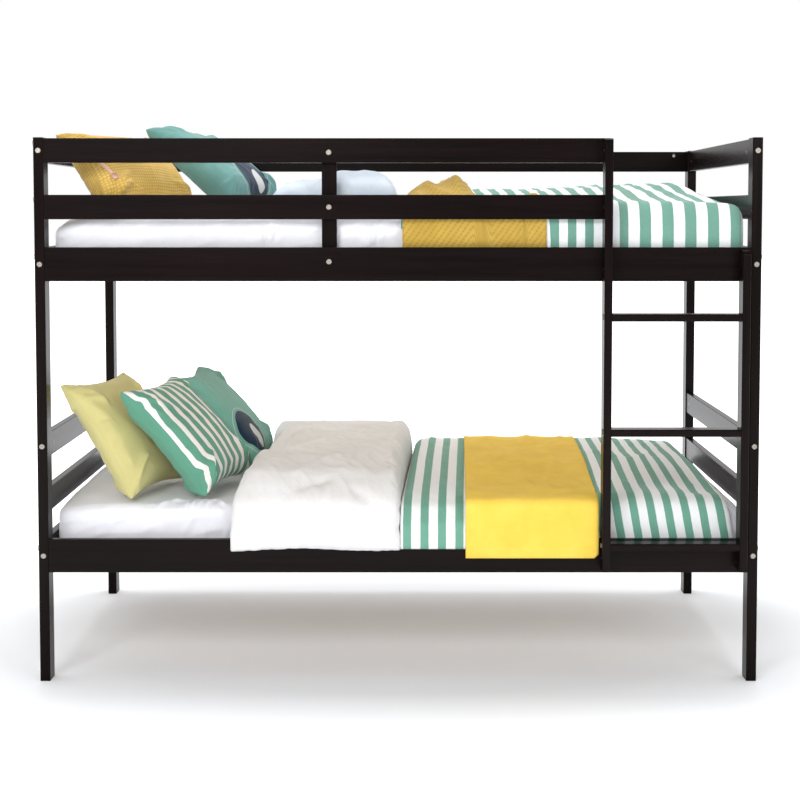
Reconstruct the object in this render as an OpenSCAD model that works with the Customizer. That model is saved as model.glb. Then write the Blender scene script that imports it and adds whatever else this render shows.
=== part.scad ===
// Twin-over-twin bunk bed with a fixed front ladder, slatted bases and dressed bedding.
// The origin lies on the floor under the middle of the bed: +X along the bed towards the
// ladder end, +Y from the ladder side to the wall side, +Z up. All sizes are in millimetres.

/* [Bed frame] */
// Length over the posts
bed_l = 1990; // [1900:10:2100]
// Depth over the posts, front face to back face
bed_d = 1058; // [1040:2:1150]
// Height of the posts
post_h = 1505; // [1500:5:1600]
// Width of a post along the bed
post_w = 28; // [28:1:40]
// Depth of a post across the bed
post_d = 58; // [50:1:70]
// Radius of the posts' long edges
post_r = 3; // [1:0.5:6]

/* [Boards] */
// Thickness of every rail and end board
board_t = 22; // [22:1:24]
// Height of a guard rail and of a plain end board
guard_h = 67; // [60:1:80]
// Height of a side rail and of the end board level with it
rail_h = 93; // [90:1:105]
// Radius of the boards' long edges
board_r = 2; // [1:0.5:4]
// Middle height of the top guard rails
top_guard_z = 1469; // [1460:1:1470]
// Middle height of the lower guard rails of the upper bunk
mid_guard_z = 1315; // [1300:1:1330]
// Middle height of the upper side rails
upper_rail_z = 1158.5; // [1150:0.5:1165]
// Middle height of the higher plain end board of the lower bunk
lower_top_z = 656; // [640:1:700]
// Middle height of the lower plain end board of the lower bunk
lower_mid_z = 503; // [490:1:520]
// Middle height of the lower side rails
lower_rail_z = 351.5; // [340:0.5:360]
// Width of the upright that ties the guard rails together
brace_w = 41; // [35:1:60]
// Position of the front upright along the bed
front_brace_x = -189; // [-300:1:0]
// Position of the back upright along the bed
back_brace_x = -241; // [-300:1:0]

/* [Ladder] */
// Left face of the ladder along the bed
ladder_x = 558.5; // [540:0.5:565]
// Width over both stiles
ladder_w = 396.5; // [360:0.5:400]
// Depth of the stiles and rungs, in front of the rails
ladder_d = 55; // [45:1:70]
// Thickness of a stile
stile_w = 22; // [22:1:24]
// Underside of both stiles
stile_bottom = 318; // [306:1:330]
// Top of the long left stile
left_stile_top = 1500; // [1490:1:1505]
// Top of the short right stile
right_stile_top = 1198; // [1190:1:1204]
// Radius of a stile's upper front corner
stile_top_r = 13; // [6:1:20]
// Number of rungs
rung_count = 3; // [2:1:3]
// Top of the first rung
first_rung_z = 396; // [390:1:420]
// Height from one rung to the next
rung_pitch = 314.5; // [280:0.5:320]
// Thickness of a rung
rung_t = 20; // [20:1:28]

/* [Slatted bases] */
// Slats under each mattress
slat_count = 14; // [10:1:16]
// Width of a slat
slat_w = 70; // [50:1:80]
// Thickness of a slat
slat_t = 15; // [12:1:18]
// Height of the cleats that carry the slats
cleat_h = 18; // [16:1:24]
// Depth of the cleats
cleat_d = 22; // [18:1:30]

/* [Fasteners] */
// Thread diameter of every bolt
bolt_d = 6; // [5:0.5:6]
// Diameter of the flat bolt heads
head_d = 15; // [12:0.5:17]
// How far the bolt heads stand proud
head_h = 2.5; // [1.5:0.5:4]
// Width of the socket in the heads
key_w = 4.6; // [3:0.2:5]
// Diameter of the barrel nuts
nut_d = 10; // [9:0.5:12]
// Length of the barrel nuts
nut_l = 15; // [14.5:0.5:16]
// Diameter of the dowels
dowel_d = 8; // [6:1:8]
// Length of the dowels
dowel_l = 30; // [24:2:36]

/* [Bedding] */
// Length of a mattress
mattress_l = 1920; // [1880:5:1925]
// Width of a mattress
mattress_w = 950; // [900:5:955]
// Thickness of a mattress
mattress_t = 145; // [100:5:150]
// Width of a filled cushion, and the side of the square ones
cushion_w = 395; // [350:5:400]
// Height of the upper bunk's waffle cushion
waffle_h = 280; // [260:5:300]
// Height of the upper bunk's teal cushion
teal_h = 365; // [340:5:375]
// Thickness of a cushion at its middle
cushion_t = 124; // [80:2:124]

/* [Hidden] */
$fn = 48;
GAP = 0.2;             // around every fastener in its hole
LIFT_GAP = 0.5;        // under each mattress and between layers of bedding
ESPRESSO = "#2b2120";
NICKEL = "#c9bfae";
BEECH = "#c9a878";
WHITE = "#f4f3f1";
TEAL = "#7fb3a3";
STRIPE = "#9cc4b0";
OLIVE = "#d8cd86";
YELLOW = "#f3dc5c";
MUSTARD = "#d2a63f";

front_y = ladder_d - (ladder_d + bed_d + head_h) / 2;  // front face of the front posts
inner_x = bed_l / 2 - post_w;                          // inner side face of the posts
bolt_grip = 52;        // length of a bolt beyond the piece that it clamps
nut_in = 42;           // barrel nut's distance from the joint face
rail_up = 20;          // bolts above, and dowels below, a rail's middle
end_dowel_up = 18;     // the two dowels of an end board without a bolt
fixing_down = 13;      // ladder fixings below the upper side rail's middle
rung_dowel_y = 16;     // dowels on both sides of a rung's bolt
rung_nut_in = 30;      // barrel nut's distance from the stile
cleat_screw_z = 9;     // cleat screws above the cleat's underside
screw_l = 30;
screw_d = 4;
screw_head_d = 8;
sleeve_l = 14;         // sleeve of a guard brace's nut
end_in = post_w / 2;   // middle of the end boards, from the posts' outer side faces
slat_end_gap = 4;      // between a slat's end and the rail

slat_span = 2 * inner_x - slat_w - 24;                 // first slat's middle to the last one's
slat_pitch = slat_span / (slat_count - 1);
upper_slat_z = upper_rail_z - rail_h / 2 + cleat_h;    // underside of the slats
lower_slat_z = lower_rail_z - rail_h / 2 + cleat_h;
mattress_y = bed_d / 2;
brace_x = [front_brace_x, back_brace_x];
brace_z0 = upper_slat_z + slat_t + 2;
brace_z1 = top_guard_z + guard_h / 2 - 2;
brace_bolt_z = [brace_z0 + 19, mid_guard_z, top_guard_z - 5];

upper_bed_z = upper_slat_z + slat_t + LIFT_GAP;        // underside of the mattresses
lower_bed_z = lower_slat_z + slat_t + LIFT_GAP;
upper_cover_z = upper_bed_z + mattress_t + LIFT_GAP;   // where the covers lie
lower_cover_z = lower_bed_z + mattress_t + LIFT_GAP;
mattress_y0 = mattress_y - mattress_w / 2;
corner_r = 60;                                         // mattress corners seen from above
cover_y1 = mattress_y + mattress_w / 2 - 4;            // back edge of the covers
tuck_y = [board_t + 5, mattress_y0 - 1.5];             // covers tucked inside the front rail
flap_y = [-22, -3];                                    // covers hanging in front of it
rail_top = lower_rail_z + rail_h / 2;
quilt_t = 47;                                          // lower coverlet
coverlet_top = 84;                                     // upper coverlet, crowned

// Bolted joints as [end, side, height]: end -1 left and 1 right, side 0 front and 1 back.
RAIL_JOINTS = concat(
    [for (z = [upper_rail_z, lower_rail_z], end = [-1, 1], side = [0, 1]) [end, side, z]],
    [for (z = [top_guard_z, mid_guard_z], at = [[-1, 0], [-1, 1], [1, 1]]) [at[0], at[1], z]]);
BOLTED_ENDS = [top_guard_z, upper_rail_z, lower_top_z, lower_rail_z];
DOWELLED_ENDS = [mid_guard_z, lower_mid_z];
// Ladder fixings as [stile, height]: stile 0 left and 1 right.
FIXINGS = [[0, top_guard_z], [0, mid_guard_z], [0, upper_rail_z - fixing_down], [0, lower_rail_z],
           [1, upper_rail_z - fixing_down], [1, lower_rail_z]];

// ---- places ----

// Moves children from the front plane of the posts into the bed's own frame.
module at_front() translate([0, front_y, 0]) children();

// A corner of the bed: x runs inwards from the outer side face, y inwards from the outer face.
module at_corner(end, side) at_front()
    translate([end * bed_l / 2, side * bed_d, 0])
        mirror([end > 0 ? 1 : 0, 0, 0]) mirror([0, side, 0]) children();

// A ladder stile: x runs inwards from its outer face, y is 0 on the rails' front face.
module at_stile(i) at_front()
    translate([ladder_x + i * ladder_w, 0, 0]) mirror([i, 0, 0]) children();

// ---- shapes ----

module rounded_rect(a, b, r) {
    square([a - 2 * r, b], center = true);
    square([a, b - 2 * r], center = true);
    for (x = [-1, 1], y = [-1, 1]) translate([x * (a / 2 - r), y * (b / 2 - r)]) circle(r);
}

// Rectangle from corner to corner, with rounded corners.
module rounded_box_2d(low, high, r)
    translate([(low[0] + high[0]) / 2, (low[1] + high[1]) / 2])
        rounded_rect(high[0] - low[0], high[1] - low[1], r);

// A board along X between x0 and x1, its section centred on y and z.
module board_x(x0, x1, y, z, h, t = board_t, r = board_r)
    translate([x0, y, z]) rotate([90, 0, 90]) linear_extrude(x1 - x0) rounded_rect(t, h, r);

// A board along Y between y0 and y1.
module board_y(y0, y1, x, z, h)
    translate([x, y1, z]) rotate([90, 0, 0]) linear_extrude(y1 - y0)
        rounded_rect(board_t, h, board_r);

// Extrudes a YZ outline along X.
module along_x(x0, x1) translate([x0, 0, 0]) rotate([90, 0, 90]) linear_extrude(x1 - x0) children();

// ---- fasteners, all pointing along +Z from the face that they sit on ----

module bolt(l) difference() {
    rotate_extrude() polygon([[0, -head_h], [head_d / 2 - 1, -head_h], [head_d / 2, 1 - head_h],
        [head_d / 2, 0], [bolt_d / 2, 0], [bolt_d / 2, l - 1], [bolt_d / 2 - 1, l], [0, l]]);
    translate([0, 0, -head_h - 1]) cylinder(d = key_w, h = 3, $fn = 6);
}

module bolt_hole(l) translate([0, 0, -1]) cylinder(d = bolt_d + 2 * GAP, h = l + 2);

// A barrel nut pressed in from a face, with its cross hole on the bolt's line.
module barrel_nut() difference() {
    cylinder(d = nut_d, h = nut_l);
    translate([-nut_d, 0, board_t / 2]) rotate([0, 90, 0])
        cylinder(d = bolt_d + 2 * GAP, h = 2 * nut_d);
    translate([-nut_d, -0.6, -1]) cube([2 * nut_d, 1.2, 2.5]);
}

module nut_hole() translate([0, 0, -1]) cylinder(d = nut_d + 2 * GAP, h = nut_l + 1.5);

// A dowel half in each of two pieces.
module dowel() translate([0, 0, -dowel_l / 2]) cylinder(d = dowel_d, h = dowel_l);

module dowel_hole() translate([0, 0, -dowel_l / 2 - 1]) cylinder(d = dowel_d + 2 * GAP, h = dowel_l + 2);

// A flanged sleeve nut for the through bolts of the guard braces.
module sleeve_nut() difference() {
    union() {
        translate([0, 0, -head_h]) cylinder(d = head_d, h = head_h);
        cylinder(d = nut_d - 1, h = sleeve_l);
    }
    translate([0, 0, 2]) cylinder(d = bolt_d + 2 * GAP, h = sleeve_l);
    translate([0, 0, -head_h - 1]) cylinder(d = key_w, h = 2.5, $fn = 6);
}

module wood_screw() rotate_extrude() polygon([[0, 0], [screw_head_d / 2, 0],
    [screw_d / 2, 3], [screw_d / 2, screw_l - 5], [0, screw_l]]);

module screw_hole() translate([0, 0, -0.01]) {
    cylinder(d1 = screw_head_d + 2 * GAP, d2 = screw_d + 2 * GAP, h = 3.2);
    cylinder(d = screw_d + 2 * GAP, h = screw_l + 1);
}

// ---- joints, in a corner's frame ----

// Along X through the post into the end of a rail.
module rail_bolt_at(z) translate([0, board_t / 2, z + rail_up]) rotate([0, 90, 0]) children();
module rail_nut_at(z) translate([post_w + nut_in, board_t, z + rail_up]) rotate([90, 0, 0]) children();
module rail_dowel_at(z) translate([post_w, board_t / 2, z - rail_up]) rotate([0, 90, 0]) children();

module rail_joint_holes(z) {
    rail_bolt_at(z) bolt_hole(post_w + bolt_grip);
    rail_nut_at(z) nut_hole();
    rail_dowel_at(z) dowel_hole();
}

// Along Y through the post into the end of an end board.
module end_bolt_at(z) translate([end_in, 0, z]) rotate([-90, 0, 0]) children();
module end_nut_at(z) translate([end_in + board_t / 2, post_d + nut_in, z])
    rotate([0, -90, 0]) rotate([0, 0, 90]) children();
module end_dowel_at(z) translate([end_in, post_d, z]) rotate([-90, 0, 0]) children();

module bolted_end_holes(z) {
    end_bolt_at(z) bolt_hole(post_d + bolt_grip);
    end_nut_at(z) nut_hole();
    end_dowel_at(z - rail_up) dowel_hole();
}

module dowelled_end_holes(z) for (s = [-1, 1]) end_dowel_at(z + s * end_dowel_up) dowel_hole();

// ---- frame ----

module post(end, side) color(ESPRESSO) difference() {
    at_corner(end, side) intersection() {
        translate([post_w / 2, post_d / 2, 0]) linear_extrude(post_h)
            rounded_rect(post_w, post_d, post_r);
        translate([post_w / 2, post_d + 1, 0]) rotate([90, 0, 0]) linear_extrude(post_d + 2)
            rounded_box_2d([-post_w / 2, -10], [post_w / 2, post_h], post_r);
        along_x(-1, post_w + 1) rounded_box_2d([0, -10], [post_d, post_h], post_r);
    }
    at_corner(end, side) {
        for (j = RAIL_JOINTS) if (j[0] == end && j[1] == side) rail_joint_holes(j[2]);
        for (z = BOLTED_ENDS) bolted_end_holes(z);
        for (z = DOWELLED_ENDS) dowelled_end_holes(z);
    }
}

module end_board(end, z, h, bolted) color(ESPRESSO) difference() {
    at_front() board_y(post_d, bed_d - post_d, end * (bed_l / 2 - end_in), z, h);
    for (side = [0, 1]) at_corner(end, side)
        if (bolted) bolted_end_holes(z); else dowelled_end_holes(z);
}

// A rail between the posts, or from the left post to the ladder's left stile.
module rail(side, z, h, to_ladder = false) color(ESPRESSO) difference() {
    at_front() board_x(-inner_x, to_ladder ? ladder_x + stile_w : inner_x,
        side * bed_d + (1 - 2 * side) * board_t / 2, z, h);
    at_corner(-1, side) rail_joint_holes(z);
    if (!to_ladder) at_corner(1, side) rail_joint_holes(z);
    if (z > upper_rail_z - 1) at_front() for (b = brace_bolt_z) brace_bolt_at(side, b) bolt_hole(60);
    if (side == 0) for (f = FIXINGS) at_stile(f[0]) fixing_bolt_at(f[1]) bolt_hole(board_t + 5);
    if (h == rail_h) at_front() for (x = CLEAT_SCREWS)
        cleat_screw_at(side, x, z - rail_h / 2 + cleat_h) screw_hole();
}

// Through a rail and its brace, from the outside.
module brace_bolt_at(side, z) translate([brace_x[side], side * bed_d, z])
    rotate([side == 0 ? -90 : 90, 0, 0]) children();
module brace_nut_at(side, z) translate([brace_x[side], side * bed_d + (1 - 2 * side) * 2 * board_t, z])
    rotate([side == 0 ? 90 : -90, 0, 0]) children();

module brace(side) color(ESPRESSO) at_front() difference() {
    translate([brace_x[side], side * bed_d + (1 - 2 * side) * 1.5 * board_t, brace_z0])
        linear_extrude(brace_z1 - brace_z0) rounded_rect(brace_w, board_t, board_r);
    for (z = brace_bolt_z) {
        brace_bolt_at(side, z) bolt_hole(60);
        brace_nut_at(side, z) cylinder(d = nut_d - 1 + 2 * GAP, h = sleeve_l + 1);
    }
}

// ---- ladder ----

// From the inner face of the front rail forwards into the stile.
module fixing_bolt_at(z) translate([stile_w / 2, board_t, z]) rotate([90, 0, 0]) children();
module fixing_nut_at(z) translate([0, -ladder_d / 2, z]) rotate([0, 90, 0]) rotate([0, 0, 90]) children();
// Through the stile into the end of a rung.
function rung_z(i) = first_rung_z - rung_t + i * rung_pitch;
module rung_bolt_at(z) translate([0, -ladder_d / 2, z + board_t / 2]) rotate([0, 90, 0]) children();
module rung_nut_at(z) translate([stile_w + rung_nut_in, -ladder_d / 2, z]) children();
module rung_dowel_at(z, s) translate([stile_w, -ladder_d / 2 + s * rung_dowel_y, z + rung_t / 2])
    rotate([0, 90, 0]) children();

module rung_joint_holes(z) {
    rung_bolt_at(z) bolt_hole(stile_w + bolt_grip);
    rung_nut_at(z) nut_hole();
    for (s = [-1, 1]) rung_dowel_at(z, s) dowel_hole();
}

module fixing_holes(z) {
    fixing_bolt_at(z) bolt_hole(board_t + bolt_grip - 10);
    fixing_nut_at(z) nut_hole();
}

module stile(i, top) color(ESPRESSO) at_stile(i) difference() {
    intersection() {
        translate([stile_w / 2, -ladder_d / 2, stile_bottom])
            linear_extrude(top - stile_bottom) rounded_rect(stile_w, ladder_d, board_r);
        along_x(-1, stile_w + 1) union() {
            rounded_box_2d([-ladder_d, 0], [stile_top_r, top], stile_top_r);
            translate([-ladder_d / 2, 0]) square([ladder_d, top - stile_top_r]);
        }
    }
    for (n = [0 : rung_count - 1]) rung_joint_holes(rung_z(n));
    for (f = FIXINGS) if (f[0] == i) fixing_holes(f[1]);
}

module rung(n) color(ESPRESSO) difference() {
    at_front() board_x(ladder_x + stile_w, ladder_x + ladder_w - stile_w,
        -ladder_d / 2, rung_z(n) + rung_t / 2, rung_t, ladder_d, 2 * board_r);
    for (i = [0, 1]) at_stile(i) rung_joint_holes(rung_z(n));
}

// ---- slatted bases ----

function slat_x(i) = -slat_span / 2 + i * slat_pitch;
CLEAT_SCREWS = [for (i = [1 : 3 : slat_count - 2]) slat_x(i) + slat_pitch / 2];

// Cleat screws start on the cleat's inner face, slat screws on the slat's top.
module cleat_screw_at(side, x, z) translate([x, side * bed_d + (1 - 2 * side) * (board_t + cleat_d),
    z - cleat_h + cleat_screw_z]) rotate([side == 0 ? 90 : -90, 0, 0]) children();
module slat_screw_at(side, x, z) translate([x, side * bed_d + (1 - 2 * side) * (board_t + cleat_d / 2),
    z + slat_t]) rotate([180, 0, 0]) children();

module cleat(side, z) color(ESPRESSO) at_front() difference() {
    board_x(4 - inner_x, inner_x - 4, side * bed_d + (1 - 2 * side) * (board_t + cleat_d / 2),
        z - cleat_h / 2, cleat_h, cleat_d, 1);
    for (x = CLEAT_SCREWS) cleat_screw_at(side, x, z) screw_hole();
    for (i = [0 : slat_count - 1]) slat_screw_at(side, slat_x(i), z) screw_hole();
}

module slat(x, z) translate([x, bed_d - board_t - slat_end_gap, z + slat_t / 2]) rotate([90, 0, 0])
    linear_extrude(bed_d - 2 * (board_t + slat_end_gap)) rounded_rect(slat_w, slat_t, board_r);

module slats(z) color(BEECH) at_front() for (i = [0 : slat_count - 1]) difference() {
    slat(slat_x(i), z);
    for (side = [0, 1]) slat_screw_at(side, slat_x(i), z) screw_hole();
}

// ---- fastener nodes ----

module end_frame_bolts() color(NICKEL)
    for (z = BOLTED_ENDS, end = [-1, 1], side = [0, 1])
        at_corner(end, side) end_bolt_at(z) bolt(post_d + bolt_grip);

module side_rail_bolts() color(NICKEL)
    for (j = RAIL_JOINTS) at_corner(j[0], j[1]) rail_bolt_at(j[2]) bolt(post_w + bolt_grip);

module guard_brace_bolts() color(NICKEL) at_front()
    for (side = [0, 1], z = brace_bolt_z) brace_bolt_at(side, z) bolt(2 * board_t - 4);

module guard_brace_nuts() color(NICKEL) at_front()
    for (side = [0, 1], z = brace_bolt_z) brace_nut_at(side, z) sleeve_nut();

module ladder_fixing_bolts() color(NICKEL)
    for (f = FIXINGS) at_stile(f[0]) fixing_bolt_at(f[1]) bolt(board_t + bolt_grip - 12);

module ladder_rung_bolts() color(NICKEL)
    for (i = [0, 1], n = [0 : rung_count - 1])
        at_stile(i) rung_bolt_at(rung_z(n)) bolt(stile_w + bolt_grip - 10);

module barrel_nuts() color(NICKEL) {
    for (j = RAIL_JOINTS) at_corner(j[0], j[1]) rail_nut_at(j[2]) barrel_nut();
    for (z = BOLTED_ENDS, end = [-1, 1], side = [0, 1])
        at_corner(end, side) end_nut_at(z) barrel_nut();
    for (f = FIXINGS) at_stile(f[0]) fixing_nut_at(f[1]) barrel_nut();
    for (i = [0, 1], n = [0 : rung_count - 1]) at_stile(i) rung_nut_at(rung_z(n)) barrel_nut();
}

module dowels() color(BEECH) {
    for (j = RAIL_JOINTS) at_corner(j[0], j[1]) rail_dowel_at(j[2]) dowel();
    for (end = [-1, 1], side = [0, 1]) at_corner(end, side) {
        for (z = BOLTED_ENDS) end_dowel_at(z - rail_up) dowel();
        for (z = DOWELLED_ENDS, s = [-1, 1]) end_dowel_at(z + s * end_dowel_up) dowel();
    }
    for (i = [0, 1], n = [0 : rung_count - 1], s = [-1, 1])
        at_stile(i) rung_dowel_at(rung_z(n), s) dowel();
}

module wood_screws() color(NICKEL) at_front() for (side = [0, 1], z = [upper_slat_z, lower_slat_z]) {
    for (x = CLEAT_SCREWS) cleat_screw_at(side, x, z) wood_screw();
    for (i = [0 : slat_count - 1]) slat_screw_at(side, slat_x(i), z) wood_screw();
}

// ---- bedding ----

module mattress(z) color(WHITE) at_front() translate([0, mattress_y, 0]) intersection() {
    translate([0, 0, z]) linear_extrude(mattress_t) rounded_rect(mattress_l, mattress_w, corner_r);
    translate([0, mattress_w, 0]) rotate([90, 0, 0]) linear_extrude(2 * mattress_w)
        rounded_box_2d([-mattress_l / 2, z], [mattress_l / 2, z + mattress_t], corner_r / 2);
    along_x(-mattress_l, mattress_l)
        rounded_box_2d([-mattress_w / 2, z], [mattress_w / 2, z + mattress_t], corner_r / 2);
}

// A crowned cushion h tall: lean tips its face back from +X, yaw turns it about Z, roll in its plane.
module cushion(centre, lean, yaw, roll = 0, h = cushion_w) at_front()
    translate(centre) rotate([0, 0, yaw]) rotate([0, -lean, 0]) rotate([roll, 0, 0]) rotate([90, 0, 90])
        hull() {
            linear_extrude(cushion_t / 8, center = true) rounded_rect(cushion_w, h, 30);
            linear_extrude(cushion_t, center = true)
                rounded_rect(cushion_w / 2, h / 2, 60);
        }

// A cover lying along x between the y and z pairs.
module cover(x, y, z, r) along_x(x[0], x[1]) rounded_box_2d([y[0], z[0]], [y[1], z[1]], r);

module upper_waffle_cushion() color(MUSTARD) cushion([-783, 249, 1412], 41, -32, -1, waffle_h);
module upper_teal_cushion() color(TEAL) cushion([-568, 575, 1429], 52, -15, -5, teal_h);
module lower_olive_cushion() color(OLIVE) cushion([-798, 288, 653], 35, -17);
module lower_striped_cushion() color(STRIPE) cushion([-620, 284, 651], 42, -14, 1);
module lower_teal_cushion() color(TEAL) cushion([-556, 692, 641], 40, -3);

module upper_duvet() color(WHITE) at_front()
    cover([-362, 4], [mattress_y0 + 8, cover_y1], [upper_cover_z, upper_cover_z + 128], 50);

module upper_coverlet() color(STRIPE) at_front() {
    cover([8, 950], [mattress_y0 + 2, cover_y1], [upper_cover_z, upper_cover_z + coverlet_top], 38);
    cover([416, 950], tuck_y, [upper_bed_z + 5, upper_cover_z + 42], 8);
    cover([416, 950], [tuck_y[0], mattress_y0 + 60], [upper_cover_z, upper_cover_z + 42], 8);
}

module upper_throw() color(MUSTARD) at_front() {
    cover([12, 410], [tuck_y[0], cover_y1],
        [upper_cover_z + coverlet_top + LIFT_GAP, upper_cover_z + coverlet_top + 28], 12);
    cover([12, 410], tuck_y, [upper_bed_z + 5, upper_cover_z + coverlet_top + 28], 8);
}

module lower_duvet() color(WHITE) at_front() {
    cover([-408, 4], [flap_y[0], 962], [lower_cover_z, lower_cover_z + 108], 45);
    cover([-465, 4], flap_y, [rail_top - 33, lower_cover_z + 60], 8);
    cover([-440, 4], [flap_y[0], tuck_y[1]], [rail_top + 4, lower_cover_z + 60], 8);
}

module lower_coverlet() color(STRIPE) at_front() {
    cover([8, 950], [tuck_y[0], cover_y1], [lower_cover_z, lower_cover_z + quilt_t], 22);
    cover([8, 182], [flap_y[1] - 12, flap_y[1]], [rail_top - 28, lower_cover_z + 30], 5);
    cover([8, 182], [flap_y[1] - 12, tuck_y[1]], [rail_top + 4, lower_cover_z + 40], 8);
    cover([560, 950], tuck_y, [lower_bed_z + 5, lower_cover_z + 24], 8);
}

module lower_throw() color(YELLOW) at_front() {
    cover([186, 553], [flap_y[0], cover_y1],
        [lower_cover_z + quilt_t + LIFT_GAP, lower_cover_z + quilt_t + 13], 6);
    cover([186, 553], flap_y, [rail_top - 52, lower_cover_z + quilt_t + 13], 6);
}

post(-1, 0);  // front_left_post
post(1, 0);  // front_right_post
post(-1, 1);  // back_left_post
post(1, 1);  // back_right_post
end_board(-1, top_guard_z, guard_h, true);  // left_top_guard_board
end_board(-1, mid_guard_z, guard_h, false);  // left_mid_guard_board
end_board(-1, upper_rail_z, rail_h, true);  // left_upper_rail_board
end_board(-1, lower_top_z, guard_h, true);  // left_lower_top_board
end_board(-1, lower_mid_z, guard_h, false);  // left_lower_mid_board
end_board(-1, lower_rail_z, rail_h, true);  // left_lower_rail_board
end_board(1, top_guard_z, guard_h, true);  // right_top_guard_board
end_board(1, mid_guard_z, guard_h, false);  // right_mid_guard_board
end_board(1, upper_rail_z, rail_h, true);  // right_upper_rail_board
end_board(1, lower_top_z, guard_h, true);  // right_lower_top_board
end_board(1, lower_mid_z, guard_h, false);  // right_lower_mid_board
end_board(1, lower_rail_z, rail_h, true);  // right_lower_rail_board
rail(0, top_guard_z, guard_h, true);  // front_top_guard
rail(0, mid_guard_z, guard_h, true);  // front_mid_guard
rail(0, upper_rail_z, rail_h);  // front_upper_rail
rail(0, lower_rail_z, rail_h);  // front_lower_rail
brace(0);  // front_guard_brace
rail(1, top_guard_z, guard_h);  // back_top_guard
rail(1, mid_guard_z, guard_h);  // back_mid_guard
rail(1, upper_rail_z, rail_h);  // back_upper_rail
rail(1, lower_rail_z, rail_h);  // back_lower_rail
brace(1);  // back_guard_brace
stile(0, left_stile_top);  // ladder_left_stile
stile(1, right_stile_top);  // ladder_right_stile
rung(0);  // ladder_rung_1
rung(1);  // ladder_rung_2
rung(2);  // ladder_rung_3
cleat(0, upper_slat_z);  // front_upper_cleat
cleat(1, upper_slat_z);  // back_upper_cleat
cleat(0, lower_slat_z);  // front_lower_cleat
cleat(1, lower_slat_z);  // back_lower_cleat
slats(upper_slat_z);  // upper_slats
slats(lower_slat_z);  // lower_slats
end_frame_bolts();
side_rail_bolts();
guard_brace_bolts();
guard_brace_nuts();
ladder_fixing_bolts();
ladder_rung_bolts();
barrel_nuts();
dowels();
wood_screws();
mattress(upper_bed_z);  // upper_mattress
upper_waffle_cushion();
upper_teal_cushion();
upper_duvet();
upper_coverlet();
upper_throw();
mattress(lower_bed_z);  // lower_mattress
lower_olive_cushion();
lower_striped_cushion();
lower_teal_cushion();
lower_duvet();
lower_coverlet();
lower_throw();
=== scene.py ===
"""Looks for the bunk bed: materials for the wooden frame, and modelled cushions, quilts, sheets and throws."""
import math

import bpy
import numpy as np
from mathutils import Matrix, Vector
from mathutils.bvhtree import BVHTree


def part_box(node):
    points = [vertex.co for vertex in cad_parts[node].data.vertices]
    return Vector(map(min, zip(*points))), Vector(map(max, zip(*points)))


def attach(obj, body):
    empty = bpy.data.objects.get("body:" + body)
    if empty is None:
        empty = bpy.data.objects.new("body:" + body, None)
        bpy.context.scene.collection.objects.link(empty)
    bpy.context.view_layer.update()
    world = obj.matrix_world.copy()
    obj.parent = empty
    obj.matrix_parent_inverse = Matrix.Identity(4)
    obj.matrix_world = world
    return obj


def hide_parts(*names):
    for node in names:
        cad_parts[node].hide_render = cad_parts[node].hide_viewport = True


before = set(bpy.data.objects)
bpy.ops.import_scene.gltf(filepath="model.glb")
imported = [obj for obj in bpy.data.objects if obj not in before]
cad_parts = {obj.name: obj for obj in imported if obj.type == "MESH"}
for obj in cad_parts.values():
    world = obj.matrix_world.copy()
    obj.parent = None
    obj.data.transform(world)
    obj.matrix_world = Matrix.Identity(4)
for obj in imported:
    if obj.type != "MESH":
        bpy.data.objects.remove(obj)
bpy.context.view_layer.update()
TAU = 2 * math.pi

# The front faces of the front posts. Distances from here towards the wall are "deep" below, in metres.
FRONT_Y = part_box("front_left_post")[0].y


# ---- noise and shaping in numpy

def noise(x, y, seed):
    """Smooth gradient noise from about -1 to 1, with features one unit wide."""
    rng = np.random.default_rng(seed)
    perm, angle = rng.permutation(256), rng.random(256) * TAU
    x, y = np.broadcast_arrays(np.asarray(x, float), np.asarray(y, float))
    xi, yi = np.floor(x).astype(int), np.floor(y).astype(int)
    xf, yf = x - xi, y - yi

    def corner(dx, dy):
        a = angle[perm[(perm[(xi + dx) & 255] + yi + dy) & 255]]
        return np.cos(a) * (xf - dx) + np.sin(a) * (yf - dy)

    u, v = (t * t * t * (t * (6 * t - 15) + 10) for t in (xf, yf))
    low = corner(0, 0) * (1 - u) + corner(1, 0) * u
    high = corner(0, 1) * (1 - u) + corner(1, 1) * u
    return 1.5 * (low * (1 - v) + high * v)


def clouds(x, y, width, seed, octaves=3):
    """Noise in several sizes, the largest width metres wide."""
    return sum(0.5 ** i * noise(x / width * 2 ** i, y / width * 2 ** i, seed + i) for i in range(octaves))


def creases(x, y, angle, width, length, seed, sharp=3.0):
    """Soft ridges from 0 to 1 that run along angle (degrees), width across and length along, in metres."""
    a = math.radians(angle)
    bend = 0.35 * width * noise(x / length, y / length, seed + 7)
    along = (x * math.cos(a) + y * math.sin(a)) / length
    across = (-x * math.sin(a) + y * math.cos(a) + bend) / width
    return np.clip(1 - np.abs(noise(across, along, seed)) * 2.2, 0, 1) ** sharp


def pleats(x, y, lines):
    """The height of rounded folds, each given by its place, direction, half length, half width and height."""
    total = 0
    for x0, y0, angle, length, width, height in lines:
        a = math.radians(angle)
        along = (x - x0) * math.cos(a) + (y - y0) * math.sin(a)
        across = (y - y0) * math.cos(a) - (x - x0) * math.sin(a) + 0.3 * along ** 2 / length
        total = total + height * np.exp(-(across / width) ** 2) * ease(np.abs(along), length, 0.25 * length)
    return total


def ease(x, low, high):
    """0 below low, 1 above high, smooth between."""
    t = np.clip((x - low) / (high - low), 0, 1)
    return t * t * (3 - 2 * t)


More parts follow.
